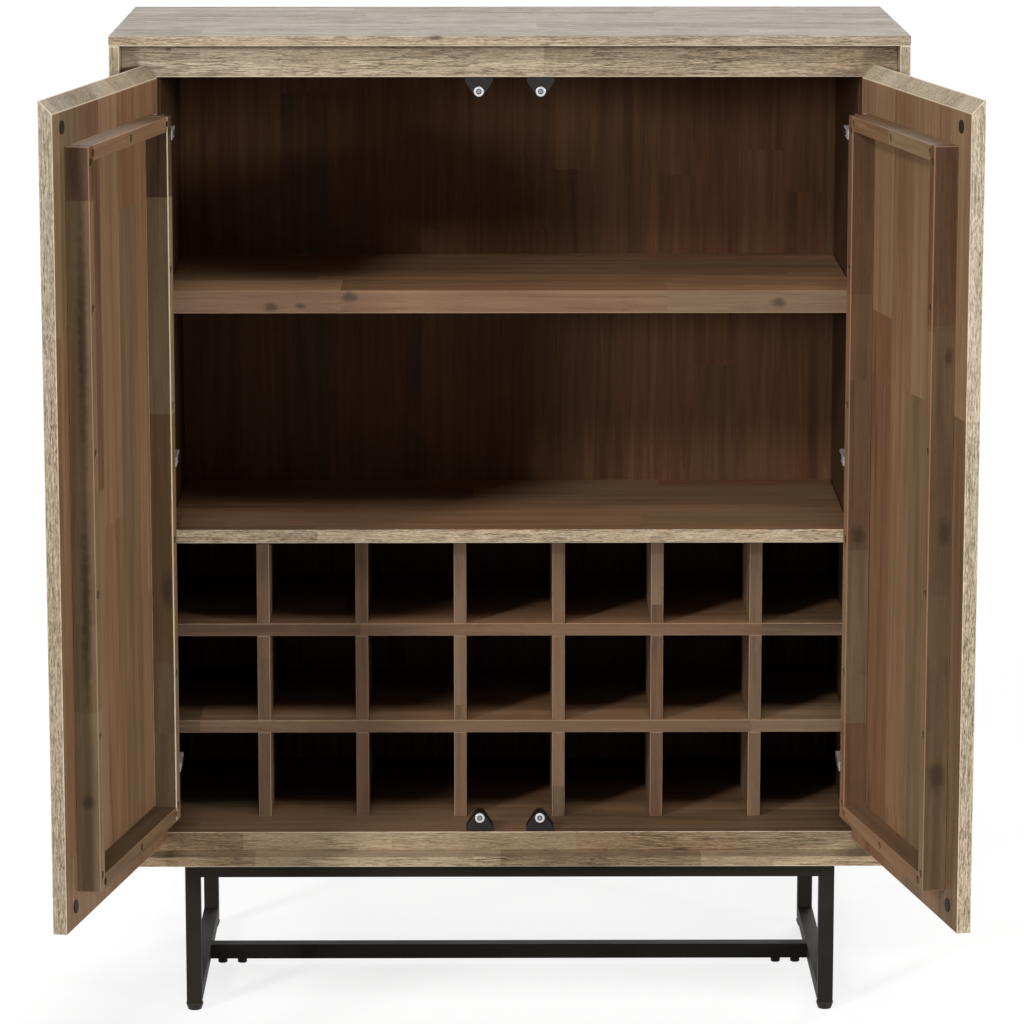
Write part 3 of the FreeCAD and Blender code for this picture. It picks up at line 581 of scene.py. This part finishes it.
def dress_shelves():
    shelf = Board(ALONG_X, ALONG_Y, stave=0.09, length=0.48, seed=6.3)
    edge_y = -0.136
    edge_knots = (Knot((-0.278, edge_y, 0.837), 0.007), Knot((-0.244, edge_y, 0.838), 0.005),
                  Knot((-0.187, edge_y, 0.849), 0.008), Knot((0.314, edge_y, 0.842), 0.008))
    edge = Face(GREYED, -ALONG_Y, shelf._replace(knots=edge_knots, pieces=UPPER_EDGE_PIECES))
    upper = toned(SMOOTH, UPPER_SHELF_TONE)
    underside = rubbed_side("upper_shelf", -ALONG_Z)
    dress(["upper_shelf"], board_materials("upper_shelf", shelf, upper, edge, rubbed=underside), BOARD_ARRIS)
    edge = Face(toned(WEATHERED, LOWER_EDGE_TONE), -ALONG_Y)
    lower = toned(SMOOTH, LOWER_SHELF_TONE)
    board = shelf._replace(seed=8.1)
    underside = rubbed_side("lower_shelf", -ALONG_Z)
    dress(["lower_shelf"], board_materials("lower_shelf", board, lower, edge, rubbed=underside), BOARD_ARRIS)
    dress(["floor_board"], board_materials("floor_board", floor_staves(), floor_finish()), FLOOR_ARRIS)
    for i, name in enumerate(numbered("rack_shelf", 2)):
        board = shelf._replace(seed=1.9 + 3 * i)
        dress([name], board_materials(name, board, SMOOTH, Face(RACKED, -ALONG_Y)), THIN_BOARD_ARRIS)


def box_middle(name):
    corners = [nodes[name].matrix_world @ Vector(c) for c in nodes[name].bound_box]
    return sum(corners, Vector()) / len(corners)


# The doors' upright battens: the pieces of each, from the bottom up, and its knots and dark streaks by
# their height, how far they are from the batten's middle line towards the inside, size and stretch
BATTEN_PIECES = {
    "left_hinge": (
        Piece(0.0, 0.65, 0.9), Piece(0.436, 0.3, 0.6), Piece(0.729, 1.1, 1.0), Piece(0.979, -0.2, 0.6),
    ),
    "left_meeting": (
        Piece(0.0, 0.85, 1.0), Piece(0.451, 0.5, 0.9), Piece(0.695, 0.6, 0.8), Piece(1.013, -0.1, 0.3),
    ),
    "right_hinge": (
        Piece(0.0, 0.3, 0.1), Piece(0.364, 0.9, 0.9), Piece(0.569, 0.4, 0.3), Piece(0.866, 0.1, 0.1),
    ),
    "right_meeting": (Piece(0.0, 0.55, 0.8), Piece(0.579, 0.3, 0.6), Piece(0.877, 0.0, 0.1)),
}
BATTEN_KNOTS = {
    "left_hinge": ((0.522, 0.006, 0.010, 3.0),),
    "left_meeting": ((0.86, 0.003, 0.008, 22.0), (0.57, 0.002, 0.008, 18.0), (0.350, 0.0, 0.012, 1.0)),
    "right_hinge": ((0.587, 0.0, 0.011, 1.7),),
    "right_meeting": ((0.843, -0.006, 0.008, 2.0), (0.651, -0.005, 0.012, 1.7), (0.376, 0.0, 0.014, 1.7)),
}


def dress_doors():
    for side, way in DOOR_WAYS.items():
        inside = DOOR_INSIDES[side]
        seed = DOOR_SEEDS[side]
        tone = DOOR_TONES[side]
        panel = Board(ALONG_Z, way, stave=0.075, length=0.75, seed=seed)
        inner_face = Face(SMOOTH, inside - BEVEL_LEAN * ALONG_Z)
        end = Face(toned(FLECKED, tone), way)
        name = side + "_door_panel"
        dress([name], board_materials(name, panel, toned(WEATHERED, tone), inner_face, end), THIN_BOARD_ARRIS)
        boards = {
            "hinge": upright_batten(side + "_hinge", way, inside, seed + 1),
            "meeting": upright_batten(side + "_meeting", way, inside, seed + 4),
            "top": Board(way, inside, stave=0.5, length=0.4, seed=seed + 2),
            "bottom": Board(way, inside, stave=0.5, length=0.4, seed=seed + 3),
        }
        for place, board in boards.items():
            name = f"{side}_door_{place}_batten"
            # The left hinge batten's arris takes a painted highlight instead of wear; the rest take faint
            # wear
            face = SMOOTH._replace(wear=BATTEN_PAINTED_HIGHLIGHT.get(f"{side}_{place}", FAINT_WEAR))
            rubbed = rubbed_side(name, way if place in ("hinge", "meeting") else ALONG_Z)
            sides = toned(face, BATTEN_TONE)
            materials = board_materials(name, board, sides, Face(face, inside), rubbed=rubbed)
            dress([name], materials, BATTEN_ARRISES[place])


def upright_batten(which, way, inside, seed):
    """A door's hinge or meeting batten, with its knots on the face that looks away from the hinge."""
    side, end = which.split("_")
    middle = box_middle(f"{side}_door_{end}_batten") + BATTEN_HALF_WIDTH * way
    knots = []
    for level, aside, size, stretch in BATTEN_KNOTS[which]:
        spot = middle + aside * inside
        knots.append(Knot((spot.x, spot.y, level), size, stretch))
    return Board(ALONG_Z, inside, stave=0.5, length=0.36, seed=seed, knots=tuple(knots),
                 pieces=BATTEN_PIECES[which])


def dress_hardware():
    steel = coated_steel("black_powder_coat", STEEL_COLOUR)
    # The stretcher and its bolts get a darker coat: painted shade under the case
    painted_shade_steel = coated_steel("black_coat_painted_shade", STRETCHER_PAINTED_SHADE)
    zinc = bare_metal("bright_zinc", ZINC_COLOUR, ZINC_ROUGH)
    dark = coated_steel("blackened_steel", STRIKE_COLOUR)
    screws = moulded_plastic("black_screws", SCREW_COLOUR)
    brown = moulded_plastic("brown_plastic", HOUSING_COLOUR)
    black = moulded_plastic("black_plastic", FOOT_COLOUR)
    tubes = ["left_front_leg", "right_front_leg", "left_rear_leg", "right_rear_leg", "left_floor_bar",
             "right_floor_bar", "left_top_bar", "right_top_bar", "front_top_bar", "rear_top_bar"]
    dress(tubes, [steel], TUBE_ARRIS)
    dress(["stretcher"], [painted_shade_steel], TUBE_ARRIS)
    bright = ["left_hinge_cups", "right_hinge_cups", "left_hinge_pins", "right_hinge_pins", "hinge_arms",
              "hinge_plates", "shelf_pins"]
    dress(bright, [zinc], FINE_ARRIS)
    dress(["catch_magnets"], [magnet_face("pot_magnet")], FITTING_ARRIS)
    dress(["left_door_screws", "right_door_screws", "case_screws"], [screws], FINE_ARRIS)
    dress(["stretcher_bolts"], [painted_shade_steel], FITTING_ARRIS)
    dress(["catch_housings"], [brown], HOUSING_ARRIS)
    dress(["left_strike_plates", "right_strike_plates"], [dark], FITTING_ARRIS)
    dress(["levelling_feet"], [black], FOOT_ARRIS)


# Stage
def seen_rays(g):
    """1 for rays that show the background itself: the camera's, mirrored ones and those through glass."""
    rays = g.add("ShaderNodeLightPath", {}).outputs
    seen = g.math("MAXIMUM", rays["Is Camera Ray"], rays["Is Glossy Ray"])
    return g.math("MAXIMUM", seen, rays["Is Transmission Ray"])


def make_floor():
    mesh = bpy.data.meshes.new("floor")
    half = FLOOR_SIZE / 2
    corners = [(-half, -half, 0), (half, -half, 0), (half, half, 0), (-half, half, 0)]
    mesh.from_pydata(corners, [], [range(len(corners))])
    floor = bpy.data.objects.new("floor", mesh)
    bpy.context.scene.collection.objects.link(floor)
    g = material_graph("floor")
    glow = g.add("ShaderNodeEmission", {"Strength": FLOOR_GLOW}).outputs[0]
    shade = g.add("ShaderNodeBsdfDiffuse", {"Color": grey(FLOOR_SHADE)}).outputs[0]
    shown = g.add("ShaderNodeAddShader", {0: glow, 1: shade}).outputs[0]
    bounce = g.add("ShaderNodeBsdfDiffuse", {"Color": grey(FLOOR_BOUNCE)}).outputs[0]
    surface = g.add("ShaderNodeMixShader", {0: seen_rays(g), 1: bounce, 2: shown}).outputs[0]
    mesh.materials.append(g.finish(surface))


def make_world():
    g = Graph(bpy.data.worlds.new("studio"))
    bpy.context.scene.world = g.owner
    ambient = g.add("ShaderNodeBackground", {"Color": grey(1.0), "Strength": AMBIENT_LEVEL}).outputs[0]
    white = g.add("ShaderNodeBackground", {"Color": grey(1.0), "Strength": 1.0}).outputs[0]
    sky = g.add("ShaderNodeMixShader", {0: seen_rays(g), 1: ambient, 2: white}).outputs[0]
    g.add("ShaderNodeOutputWorld", {"Surface": sky})


def make_lamps():
    for lamp in LAMPS:
        data = bpy.data.lights.new(lamp.name, "SUN")
        data.energy = math.pi * lamp.level
        data.angle = math.radians(lamp.size)
        light = bpy.data.objects.new(lamp.name, data)
        turn = math.radians(lamp.azimuth)
        rise = math.radians(lamp.elevation)
        towards = Vector((math.sin(turn) * math.cos(rise), -math.cos(turn) * math.cos(rise), math.sin(rise)))
        light.rotation_mode = "QUATERNION"
        light.rotation_quaternion = towards.to_track_quat("Z", "Y")
        bpy.context.scene.collection.objects.link(light)


def make_camera():
    data = bpy.data.cameras.new("camera")
    data.sensor_width = SENSOR_WIDTH
    data.lens = FOCAL_PIXELS * SENSOR_WIDTH / IMAGE_PIXELS
    data.clip_end = CLIP_END
    camera = bpy.data.objects.new("camera", data)
    camera.location = CAMERA_PLACE
    camera.rotation_euler = (math.radians(90 - CAMERA_DROP), 0.0, math.radians(-CAMERA_TURN))
    bpy.context.scene.collection.objects.link(camera)
    bpy.context.scene.camera = camera


dress_case()
dress_doors()
dress_hardware()
make_floor()
make_world()
make_lamps()
make_camera()
bpy.context.scene.view_settings.view_transform = "Standard"
